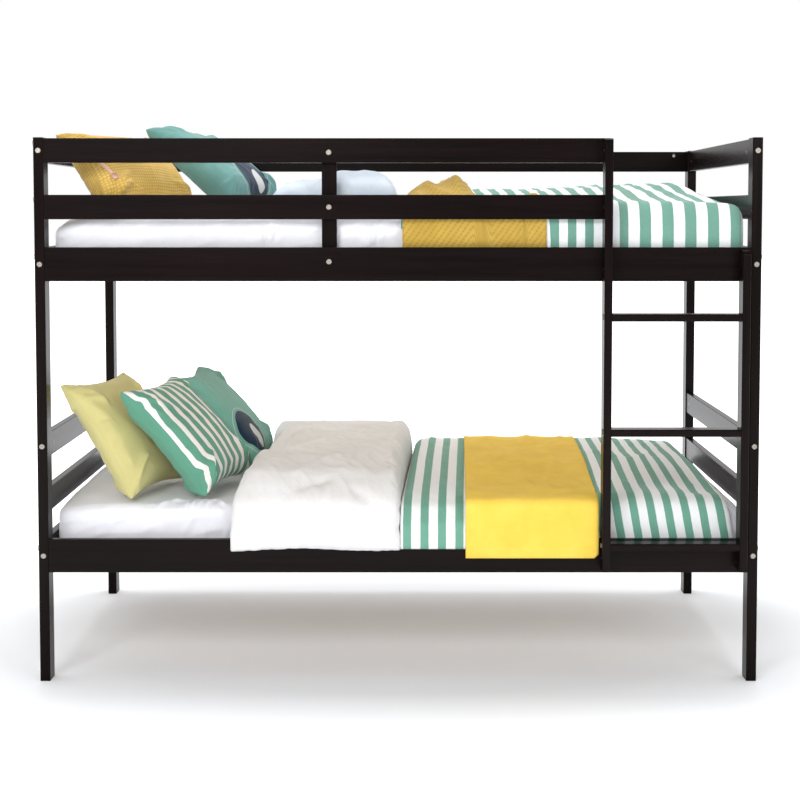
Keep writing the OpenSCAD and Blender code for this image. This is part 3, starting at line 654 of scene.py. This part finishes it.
def cushion(node, material, slot, lean, yaw, roll, seed, tall=COVER_WIDTH):
    """A stuffed cover: two flat squares sewn at their edge, blown up by cloth simulation, then set in place. Gives
    the cover, its front's grid of points and half its height."""
    low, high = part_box(node)
    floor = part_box(node.split("_")[0] + "_mattress")[1].z + 0.002
    t = np.linspace(-1, 1, COVER_CELLS + 1)
    p, q = np.meshgrid(t, t, indexing="ij")
    edge = np.maximum(np.abs(p), np.abs(q)) > 1 - 1e-9
    half, rise = COVER_WIDTH / 2, tall / 2
    inside = (1 - np.abs(p) ** 2.4) * (1 - np.abs(q) ** 2.4)
    bulge = np.where(edge, 0, 0.5 * COVER_THICKNESS * np.maximum(inside, 0) ** 0.42)
    # Gathers run in from the sewn edge, strongest near the corners.
    rim = half * (1 - np.maximum(np.abs(p), np.abs(q)))
    along = np.where(np.abs(p) > np.abs(q), q, p) * half
    corner = ease(np.minimum(np.abs(p), np.abs(q)), 0.35, 0.95)
    gather = (0.0020 + 0.0062 * corner) * noise(along / 0.019, np.sign(p + 2 * q) + rim / 0.12, 200 + seed)
    gather = gather * ease(rim, 0.0, 0.012) * ease(rim, 0.085, 0.015)
    dents = 0.004 * clouds(p * half, q * rise, 0.20, 100 + seed) + 0.003 * creases(
        p * half, q * rise, 40 + 50 * seed, 0.07, 0.20, 140 + seed, 2.0)
    dents = dents * ease(rim, 0.0, 0.08)
    # Short folds fan out from the corners.
    rng = np.random.default_rng(300 + seed)
    fan = [(sx * rng.uniform(0.11, 0.165), sy * rng.uniform(0.11, 0.165) * rise / half, sx * sy * rng.uniform(18, 72),
            rng.uniform(0.040, 0.075), rng.uniform(0.007, 0.011), rng.uniform(0.004, 0.009))
           for sx in (-1, 1) for sy in (-1, 1) for _ in range(4)]
    gather = gather + pleats(p * half, q * rise, fan) * ease(rim, 0.004, 0.020)
    # The cover's cut edge curves in a little between the corners, and the corners are blunt.
    blunt = 1 - 0.030 * (np.abs(p) * np.abs(q)) ** 6
    yy = half * p * (1 - 0.085 * (1 - q ** 2)) * blunt
    zz = rise * q * (1 - 0.095 * (1 - p ** 2)) * blunt
    front = np.stack([bulge + dents + gather, yy, zz], -1)
    back = np.stack([-bulge + dents * 0.5 - gather, yy, zz], -1)
    # The two squares share their edge points.
    count = p.size
    own = np.ones(2 * count, bool)
    own[count:] = ~edge.ravel()
    number = np.cumsum(own) - 1
    number[count:] = np.where(edge.ravel(), number[:count], number[count:])
    faces = np.vstack([quads(*p.shape), quads(*p.shape, count, True)])
    points = np.vstack([front.reshape(-1, 3), back.reshape(-1, 3)])[own]
    flat = np.stack([unrolled(front, 0), unrolled(front, 1), np.where(edge, 0.5, 1)], -1).reshape(-1, 3)
    flat = np.vstack([flat, flat * [1, 1, 0]])[own]
    o = mesh_piece(node + "_cover", points, number[faces], material, flat)
    made = settle(o, 16, 4.0, swell=0.02, bend=0.35, cap=0.009)
    # Fuller towards the bottom, slumped a little, and pressed flat where it stands on the bed.
    made[:, 0] *= np.minimum(1, COVER_THICKNESS / np.ptp(made[:, 0]))
    height = made[:, 2] / rise
    made[:, 0] *= 1 - 0.12 * height
    made[:, 0] += 0.008 * (1 - height ** 2)
    made = turned(made, yaw, lean, roll) + np.array((low + high) / 2)
    below = np.minimum(made[:, 2] - floor - SQUASH, 0)
    made[:, 2] = np.where(below < 0, floor + SQUASH * np.exp(below / SQUASH), made[:, 2])
    write_points(o, made)
    subdivide(o)
    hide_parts(node)
    return o, made[:count].reshape(front.shape), rise


WAFFLE_TURN = {"lean": 41, "yaw": -32, "roll": -1}
cushion("lower_olive_cushion", olive, "olive_cotton", 35, -17, 0, 1)
cushion("lower_striped_cushion", cushion_stripes, "striped_cushion_cotton", 42, -14, 1, 2)
cushion("lower_teal_cushion", teal, "teal_cotton", 40, -3, 0, 3)
waffled, waffle_front, waffle_rise = cushion("upper_waffle_cushion", mustard_waffle, "mustard_waffle",
                                             **WAFFLE_TURN, seed=4, tall=0.286)
cushion("upper_teal_cushion", teal_upper_shaded, "teal_cotton", 52, -15, -5, 5, tall=0.372)


def on_waffle(u, v, lift):
    """Places lift above the front of the waffle cushion, from flat places in metres, with its normals."""
    i = np.clip((u / (COVER_WIDTH / 2) + 1) / 2 * COVER_CELLS, 0, COVER_CELLS - 1e-6)
    j = np.clip((v / waffle_rise + 1) / 2 * COVER_CELLS, 0, COVER_CELLS - 1e-6)
    i0, j0 = i.astype(int), j.astype(int)
    fi, fj = (i - i0)[..., None], (j - j0)[..., None]

    def blend(grid):
        return ((1 - fi) * ((1 - fj) * grid[i0, j0] + fj * grid[i0, j0 + 1])
                + fi * ((1 - fj) * grid[i0 + 1, j0] + fj * grid[i0 + 1, j0 + 1]))

    normals = grid_normals(waffle_front)
    middle = normals[COVER_CELLS // 2, COVER_CELLS // 2]
    n = blend(normals * np.sign(middle @ turned(np.array([1.0, 0, 0]), **WAFFLE_TURN)))
    return blend(waffle_front) + n * lift[..., None], n


def placket():
    """The corner flap of the waffle cushion, the tape along its edge and the button that closes it."""
    a, b, c = np.array([-0.190, 0.045]), np.array([-0.155, -0.070]), np.array([-0.030, -0.124])
    s = np.linspace(0, 1, 61)

    def through(*corners):
        return np.stack([np.interp(s, [0, 0.5, 1], [corner[k] for corner in corners]) for k in range(2)], 1)

    line = through(a, b, c)
    line[1:-1] = (line[:-2] + line[1:-1] + line[2:]) / 3
    side = through((-0.196, 0.045), (-0.197, -0.137), (-0.030, -0.139))
    t = np.linspace(0, 1, 17)[None, :, None]
    place = line[:, None] * (1 - t) + side[:, None] * t
    u, v, t = place[..., 0], place[..., 1], t[..., 0]
    hem = ease(t, 0.0, 0.04) * (1 + 0.6 * ease(t, 0.22, 0.14))
    top, _ = on_waffle(u, v, 0.0022 + 0.0020 * hem * ease(t, 1.0, 0.7))
    under, _ = on_waffle(u, v, np.full((1, 1), 0.0014))
    flap = layered("waffle_cushion_flap", top, under, u, v, mustard_waffle)
    float(np.ptp(u))
    float(np.ptp(v))
    # The tape runs from the cushion's side to the button.
    width, length, thick = 0.010, np.linalg.norm(b - a), 0.0014
    across = np.array([a[1] - b[1], b[0] - a[0]]) / length
    place = ((a + (b - a) * np.linspace(0, 1, 25)[:, None])[:, None]
             + across * np.linspace(-width / 2, width / 2, 5)[None, :, None])
    u, v = place[..., 0], place[..., 1]
    crown = 0.0052 + 0.0008 * np.cos(np.linspace(-1.4, 1.4, 5))[None, :]
    tape = layered("waffle_cushion_tape", on_waffle(u, v, crown)[0], on_waffle(u, v, crown - thick)[0], u, v,
                   tape_material())
    # A button turned with a rim and a sunk middle: radius and height of its profile.
    (middle,), (n,) = on_waffle(b[:1], b[1:], np.array([0.0062]))
    x = np.cross(n, [0, 0, 1.0])
    x /= np.linalg.norm(x)
    y = np.cross(n, x)
    profile = [(0.0, -0.0015), (0.0085, -0.0015), (0.0105, -0.0002), (0.0112, 0.0010), (0.0105, 0.0024),
               (0.0092, 0.0029), (0.0080, 0.0024), (0.0068, 0.0015), (0.0, 0.0013)]
    around = np.linspace(0, TAU, 40, endpoint=False)
    points = [middle + n * h + r * (x * math.cos(w) + y * math.sin(w)) for r, h in profile for w in around]
    i = np.arange(len(points)).reshape(len(profile), len(around))
    i = np.hstack([i, i[:, :1]])
    faces = np.stack([i[:-1, :-1], i[:-1, 1:], i[1:, 1:], i[1:, :-1]], -1).reshape(-1, 4)
    mesh_piece("waffle_cushion_button", points, faces, button_material())


placket()


# ---- quilts and throws

def spread_cloth(name, node, material, xs, path_of, thick_of, bump_of, step, radius, skew_of=None):
    """Cloth laid over the bed: for each place along the bed, a path from the wall side over to the front.
    path_of gives the (deep, z) corners of its underside. thick_of and bump_of give metres from the flat places u
    and v, the place y and z on the path, and the distance from the cloth's edge. skew_of moves it along the bed.
    Gives the piece and its mean length."""
    paths = [rounded_path(path_of(x), radius, step) for x in xs]
    count = max(len(p) for p, _ in paths)
    share = np.linspace(0, 1, count)
    yz = np.array([[np.interp(share, np.linspace(0, 1, len(p)), p[:, k]) for k in range(2)] for p, _ in paths])
    y, z = yz[:, 0], yz[:, 1]
    lengths = np.array([length for _, length in paths])
    u = np.repeat(np.asarray(xs)[:, None], count, 1)
    v = share[None, :] * lengths[:, None]
    base = np.stack([u + (skew_of(u, y, z) if skew_of else 0), y + FRONT_Y, z], -1)
    n = grid_normals(base)
    n = n * np.sign(n[..., 2].mean())
    edge = np.minimum(np.minimum(u - xs[0], xs[-1] - u), np.minimum(v, lengths[:, None] - v))
    top = base + n * (thick_of(u, v, y, z, edge) + bump_of(u, v, y, z, edge))[..., None]
    o = layered(name, top, base, u, v, material)
    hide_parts(node)
    return o, float(lengths.mean())


def puffed(edge, full, rim, width):
    """A quilt's thickness: rim at its sewn edge, full from width inwards."""
    t = np.clip(edge / width, 0, 1)
    return rim + (full - rim) * np.sqrt(np.clip(1 - (1 - t) ** 2, 0, 1))


def inflate(o, cap):
    """Blows a duvet's upper layer up a little by cloth simulation, and smooths it."""
    count = len(o.data.vertices)
    write_points(o, settle(o, 18, 2.0, swell=0.05, bend=0.3, cap=cap, pinned=range(count // 2, count)))
    subdivide(o)


# Bedding lies this far above the mattress tops, clear of the fitted sheets' wrinkles.
ABOVE_SHEET = 0.0045
LOWER_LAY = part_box("lower_mattress")[1].z + ABOVE_SHEET
UPPER_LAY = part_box("upper_mattress")[1].z + ABOVE_SHEET
RAIL_FRONT = -0.004


def surface(o, faces):
    return BVHTree.FromPolygons([v.co for v in o.data.vertices], [tuple(f.vertices) for f in faces])


def settle_on(o, under, gap, from_deep):
    """Lets the part of a sheet that is deeper than from_deep follow the top of the piece under it, gap above."""
    tree = surface(under, under.data.polygons)
    points = np.array([v.co for v in o.data.vertices])
    half = len(points) // 2
    for i in range(half):
        x, y, z = points[i + half]
        share = float(ease(y - FRONT_Y, from_deep, from_deep + 0.06))
        if share > 0:
            hit = tree.ray_cast(Vector((x, y, 3.0)), Vector((0, 0, -1)), 3.0)[0]
            if hit is not None:
                points[[i, i + half], 2] += share * (hit.z + gap - z)
    write_points(o, points)


def keep_above(o, under, gap):
    """Moves a sheet outwards wherever it is nearer than gap to the upper layer of the piece under it."""
    layer = len(under.data.vertices) // 2
    tree = surface(under, [f for f in under.data.polygons if max(f.vertices) < layer])
    points = np.array([v.co for v in o.data.vertices])
    half = len(points) // 2
    for i in range(half):
        place = Vector(points[i + half])
        near, normal = tree.find_nearest(place, 0.08)[:2]
        short = gap - (place - near).dot(normal) if near is not None else 0
        if short > 0:
            points[[i, i + half]] += np.array(normal) * short
    write_points(o, points)


def lower_quilt():
    low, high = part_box("lower_coverlet")
    z0 = LOWER_LAY
    hem_out, hem_in = 0.372, 0.346
    slant = 0.028

    def askew(u, y, z):
        lower = np.clip((z0 + 0.01 - z) / (z0 + 0.01 - hem_in), 0, 1)
        return 0.040 * np.clip(y, 0, 1) * ease(u, 0.94, 0.4) + slant * lower * ease(u, 0.35, 0.55)

    def path_of(x):
        # Over the rail at the left, ending on top in the middle, tucked behind the rail at the right.
        back = [(0.995, z0 - 0.004), (0.97, z0), (0.10, z0)]
        if x < 0.30:
            drop = hem_out + (0.44 - hem_out) * float(ease(x, 0.19, 0.30))
            return back + [(0.035, z0 - 0.006), (0.012, z0 - 0.035), (RAIL_FRONT, z0 - 0.05), (RAIL_FRONT, drop)]
        share = float(ease(x, 0.40, 0.55))
        if share == 0:
            return back + [(0.05, z0 - 0.003), (0.036, z0 - 0.022), (0.034, z0 - 0.045)]
        return back + [(0.060, z0 - 0.004), (0.042, z0 - 0.03), (0.040, z0 - 0.045 - share * (z0 - 0.045 - hem_in))]

    def thick_of(u, v, y, z, edge):
        hang = ease(y, 0.11, 0.03)
        body = puffed(edge, 0.021 + 0.033 * ease(y, 0.02, 0.60), 0.006, 0.05)
        return body * (1 - hang) + hang * puffed(edge, 0.0105, 0.004, 0.02)

    def bump_of(u, v, y, z, edge):
        wave = 0.0035 * clouds(u, v, 0.22, 61) + 0.005 * creases(u, v, 84, 0.10, 0.5, 63)
        return ease(edge, 0.0, 0.06) * ease(y, 0.06, 0.16) * (wave - 0.018 * ease(u, 0.62, 0.92) ** 2)

    xs = np.arange(low.x - 0.002, high.x - slant + 0.004, 0.008)
    o, _ = spread_cloth("lower_striped_quilt", "lower_coverlet", quilt_stripes, xs, path_of,
                        thick_of, bump_of, 0.009, 0.02, askew)
    return o


def lower_duvet():
    low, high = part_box("lower_duvet")
    z0 = LOWER_LAY

    def path_of(x):
        return [(0.972, z0), (0.90, z0), (0.08, z0), (0.03, z0 - 0.012), (0.006, z0 - 0.05),
                (RAIL_FRONT, z0 - 0.07), (RAIL_FRONT, 0.368 + 0.003 * math.sin(x * 17))]

    def thick_of(u, v, y, z, edge):
        hang = ease(y, 0.16, 0.01)
        crown = 0.074 + 0.036 * ease(y, 0.05, 0.6)
        return puffed(edge, crown, 0.014, 0.04) * (1 - hang) + hang * puffed(edge, 0.030, 0.006, 0.05)

    def bump_of(u, v, y, z, edge):
        soft = 0.008 * clouds(u, v, 0.26, 71) + 0.009 * creases(u, v, 100, 0.14, 0.45, 73, 2.0)
        small = 0.004 * creases(u, v, 60, 0.05, 0.16, 77, 2.0)
        from_hem = v.max(axis=1, keepdims=True) - v
        dents = pleats(u, from_hem, [
            (-0.332, 0.078, 112, 0.045, 0.010, 0.012), (-0.400, 0.060, 116, 0.045, 0.012, 0.012),
            (-0.168, 0.060, 52, 0.050, 0.010, 0.014), (-0.045, 0.060, 124, 0.045, 0.012, 0.012),
            (-0.110, 0.130, 140, 0.060, 0.014, 0.010), (-0.250, 0.170, 20, 0.080, 0.016, 0.010)])
        return ease(edge, 0.01, 0.10) * (soft + small - 0.006) - ease(edge, 0.0, 0.02) * dents

    def askew(u, y, z):
        # The left edge leaves room for the teal cushion's corner.
        room = 0.030 * (ease(y, 0.36, 0.48) - ease(y, 0.88, 0.95))
        return 0.040 * np.clip(y, 0, 1) + room * ease(u, -0.28, -0.46)

    xs = np.linspace(low.x + 0.002, high.x + 0.001, 59)
    o, _ = spread_cloth("lower_white_duvet", "lower_duvet", duvet_white, xs, path_of, thick_of,
                        bump_of, 0.009, 0.03, askew)
    inflate(o, 0.008)


def lower_throw(under):
    low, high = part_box("lower_throw")
    z0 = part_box("lower_coverlet")[1].z + 0.001
    front = -0.0175

    def path_of(x):
        round_corner = 0.012 * float(ease(x, high.x - 0.018, high.x)) ** 2
        return [(0.978, z0 - 0.012), (0.93, z0 + 0.001), (0.16, z0 + 0.001), (0.05, z0 - 0.012),
                (-0.012, z0 - 0.024), (front, z0 - 0.036), (front, 0.349 + round_corner)]

    def thick_of(u, v, y, z, edge):
        return 0.0032 + 0.0012 * ease(edge, 0.016, 0.012)

    def bump_of(u, v, y, z, edge):
        hang = ease(y, 0.02, -0.01)
        folds = 0.003 * creases(u, v, 8, 0.16, 0.5, 83) + 0.0015 * clouds(u, v, 0.15, 85)
        hung = 0.0035 * (0.5 + 0.5 * np.sin(u * 46 + 1.5 * noise(u * 9, v * 3, 87)))
        return (1 - hang) * folds + hang * hung * ease(edge, 0, 0.03)

    xs = np.arange(low.x, high.x + 0.003, 0.006)
    o, length = spread_cloth("lower_yellow_throw", "lower_throw", yellow_wool, xs, path_of, thick_of,
                             bump_of, 0.007, 0.012, lambda u, y, z: 0.030 * np.clip(y, 0, 1))
    settle_on(o, under, 0.002, 0.03)
    keep_above(o, under, 0.0015)


def upper_quilt():
    low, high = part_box("upper_coverlet")
    z0 = UPPER_LAY

    def path_of(x):
        # Ends on top at the left, tucked behind the rail at the right.
        tucked = float(ease(x, 0.38, 0.43)) * (z0 - 0.04 - 1.153)
        return [(0.995, z0 - 0.002), (0.97, z0), (0.10, z0), (0.060, z0 - 0.004), (0.047, z0 - 0.03),
                (0.046, z0 - 0.04 - tucked)]

    def thick_of(u, v, y, z, edge):
        hang = ease(y, 0.075, 0.045)
        crown = 0.036 + (0.040 + 0.012 * ease(u, 0.45, 0.60)) * ease(y, 0.05, 0.75)
        return puffed(edge, crown, 0.008, 0.06) * (1 - hang) + hang * puffed(edge, 0.018, 0.004, 0.03)

    def bump_of(u, v, y, z, edge):
        foot, back = ease(u, 0.66, 0.945), ease(y, 0.50, 0.90)
        wave = 0.004 * clouds(u, v, 0.25, 91) + 0.004 * creases(u, v, 86, 0.11, 0.5, 93)
        wave = wave - 0.016 * foot ** 2 * (1 - back) + 0.014 * foot * back
        return ease(edge, 0.0, 0.06) * ease(y, 0.05, 0.16) * wave

    o, _ = spread_cloth("upper_striped_quilt", "upper_coverlet", upper_stripes,
                        np.arange(low.x, high.x + 0.004, 0.008), path_of, thick_of, bump_of, 0.009, 0.03)
    return o


def upper_duvet():
    low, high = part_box("upper_duvet")
    z0 = UPPER_LAY

    def thick_of(u, v, y, z, edge):
        full = 0.090 + 0.023 * ease(u, -0.26, -0.16) + 0.006 * np.exp(-((u + 0.04) / 0.06) ** 2)
        return puffed(edge, full, 0.012, 0.075)

    def bump_of(u, v, y, z, edge):
        soft = 0.009 * clouds(u, v, 0.24, 101) + 0.008 * creases(u, v, 75, 0.12, 0.4, 103, 2.0)
        return ease(edge, 0.01, 0.10) * (soft - 0.008)

    o, _ = spread_cloth("upper_white_duvet", "upper_duvet", duvet_white_shaded,
                        np.arange(low.x + 0.002, high.x - 0.001, 0.008),
                        lambda x: [(0.996, z0), (0.90, z0), (0.10, z0), (0.066, z0)], thick_of, bump_of, 0.009, 0.02)
    inflate(o, 0.006)


def upper_throw(under):
    low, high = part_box("upper_throw")
    z0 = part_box("upper_coverlet")[1].z + 0.001
    front = 0.029

    def path_of(x):
        # It goes far back and bunches up high at the left, is short in the middle, and has one corner thrown back.
        back = 0.085 + 0.335 * float(ease(x, 0.260, 0.205)) + 0.155 * float(ease(x, 0.340, 0.358))
        return [(back, z0 - 0.030), (max(0.6 * back, 0.075), z0 - 0.045), (0.060, z0 - 0.062),
                (0.036, z0 - 0.085), (front, z0 - 0.120), (front, 1.153)]

    def thick_of(u, v, y, z, edge):
        return 0.0042 + 0.0013 * ease(edge, 0.016, 0.012)

    def bump_of(u, v, y, z, edge):
        hang = ease(y, 0.07, 0.035)
        lump = 0.030 * np.exp(-((u - 0.085) / 0.045) ** 2) + 0.052 * np.exp(-((u - 0.166) / 0.038) ** 2)
        lump = lump * ease(y, 0.07, 0.20) * ease(v, 0.0, 0.05)
        folds = 0.010 * creases(u, v, 70, 0.055, 0.3, 111, 2.0) + 0.004 * clouds(u, v, 0.1, 113)
        hung = 0.007 * creases(u, v, 95, 0.055, 0.4, 117, 2.0) * ease(z, 1.200, 1.225)
        return (1 - hang) * (folds * ease(edge, 0.0, 0.02) + lump) + hang * hung * ease(edge, 0, 0.03)

    xs = np.arange(low.x, high.x + 0.003, 0.006)
    o, length = spread_cloth("upper_knitted_throw", "upper_throw", mustard_knit, xs, path_of,
                             thick_of, bump_of, 0.007, 0.02)
    settle_on(o, under, 0.003, 0.055)
    keep_above(o, under, 0.0025)


lower_throw(lower_quilt())
lower_duvet()
upper_throw(upper_quilt())
upper_duvet()


# ---- floor, light and camera

def studio_floor():
    """A plain pale floor whose far part fades to plain white."""
    mesh = bpy.data.meshes.new("studio_floor")
    far = 40.0
    mesh.from_pydata([(-far, -far, 0), (far, -far, 0), (far, far, 0), (-far, far, 0)], [], [(0, 1, 2, 3)])
    o = placed("studio_floor", mesh)
    n = Nodes("floor", 0.8, 0.1)
    place = n.place()
    away = n.put("ShaderNodeVectorMath", _0=n.scaled(place, (0.6, 1.0, 1.0)))
    away.operation = "LENGTH"
    glow = n.spread(away.outputs["Value"], 0.62, 2.4, 0.07, 1.0)
    n.plug(n.shader.inputs["Emission Color"], (1, 1, 1, 1))
    n.plug(n.shader.inputs["Emission Strength"], glow)
    mesh.materials.append(n.done((0.78, 0.80, 0.83, 1)))


def area_light(name, place, target, size, power, tint=(1, 1, 1)):
    data = bpy.data.lights.new(name, "AREA")
    data.shape, data.size, data.size_y, data.energy, data.color = "RECTANGLE", size[0], size[1], power, tint
    o = placed(name, data)
    o.location = place
    o.rotation_euler = (Vector(target) - Vector(place)).to_track_quat("-Z", "Y").to_euler()


def studio_light():
    world = bpy.data.worlds.new("studio")
    bpy.context.scene.world = world
    world.use_nodes = True
    tree = world.node_tree
    tree.nodes.clear()
    put, link = tree.nodes.new, tree.links.new
    way = put("ShaderNodeTexCoord")
    part = put("ShaderNodeSeparateXYZ")
    link(way.outputs["Generated"], part.inputs[0])
    reach = put("ShaderNodeMapRange")
    link(part.outputs["Y"], reach.inputs["Value"])
    for key, value in (("From Min", -0.7), ("From Max", 0.2), ("To Min", 0.06), ("To Max", 1.10)):
        reach.inputs[key].default_value = value
    lit, shown, mixed = put("ShaderNodeBackground"), put("ShaderNodeBackground"), put("ShaderNodeMixShader")
    link(reach.outputs[0], lit.inputs["Strength"])
    shown.inputs["Strength"].default_value = 1.0
    for light in (lit, shown):
        light.inputs["Color"].default_value = (1, 1, 1, 1)
    path = put("ShaderNodeLightPath")
    link(path.outputs["Is Camera Ray"], mixed.inputs[0])
    link(lit.outputs[0], mixed.inputs[1])
    link(shown.outputs[0], mixed.inputs[2])
    link(mixed.outputs[0], put("ShaderNodeOutputWorld").inputs[0])
    area_light("key", (-1.4, -5.0, 3.0), (0, 0, 0.8), (2.6, 1.6), 165)
    area_light("fill", (2.8, -4.8, 2.4), (0, 0, 0.6), (2.2, 1.4), 62)
    area_light("top", (0.0, 1.1, 6.5), (0, 0, 0.0), (3.4, 2.4), 225)


def studio_camera():
    data = bpy.data.cameras.new("camera")
    data.lens, data.sensor_width = 71.13, 36.0
    data.shift_x, data.shift_y = -0.010, -0.120
    data.clip_start, data.clip_end = 0.05, 200
    o = placed("camera", data)
    o.location = (0.0272, FRONT_Y - 4.3233, 1.3090)
    o.rotation_euler = (math.radians(90 - 3.43), 0, 0)
    bpy.context.scene.camera = o


studio_floor()
studio_light()
studio_camera()
bpy.context.scene.view_settings.view_transform = "Standard"
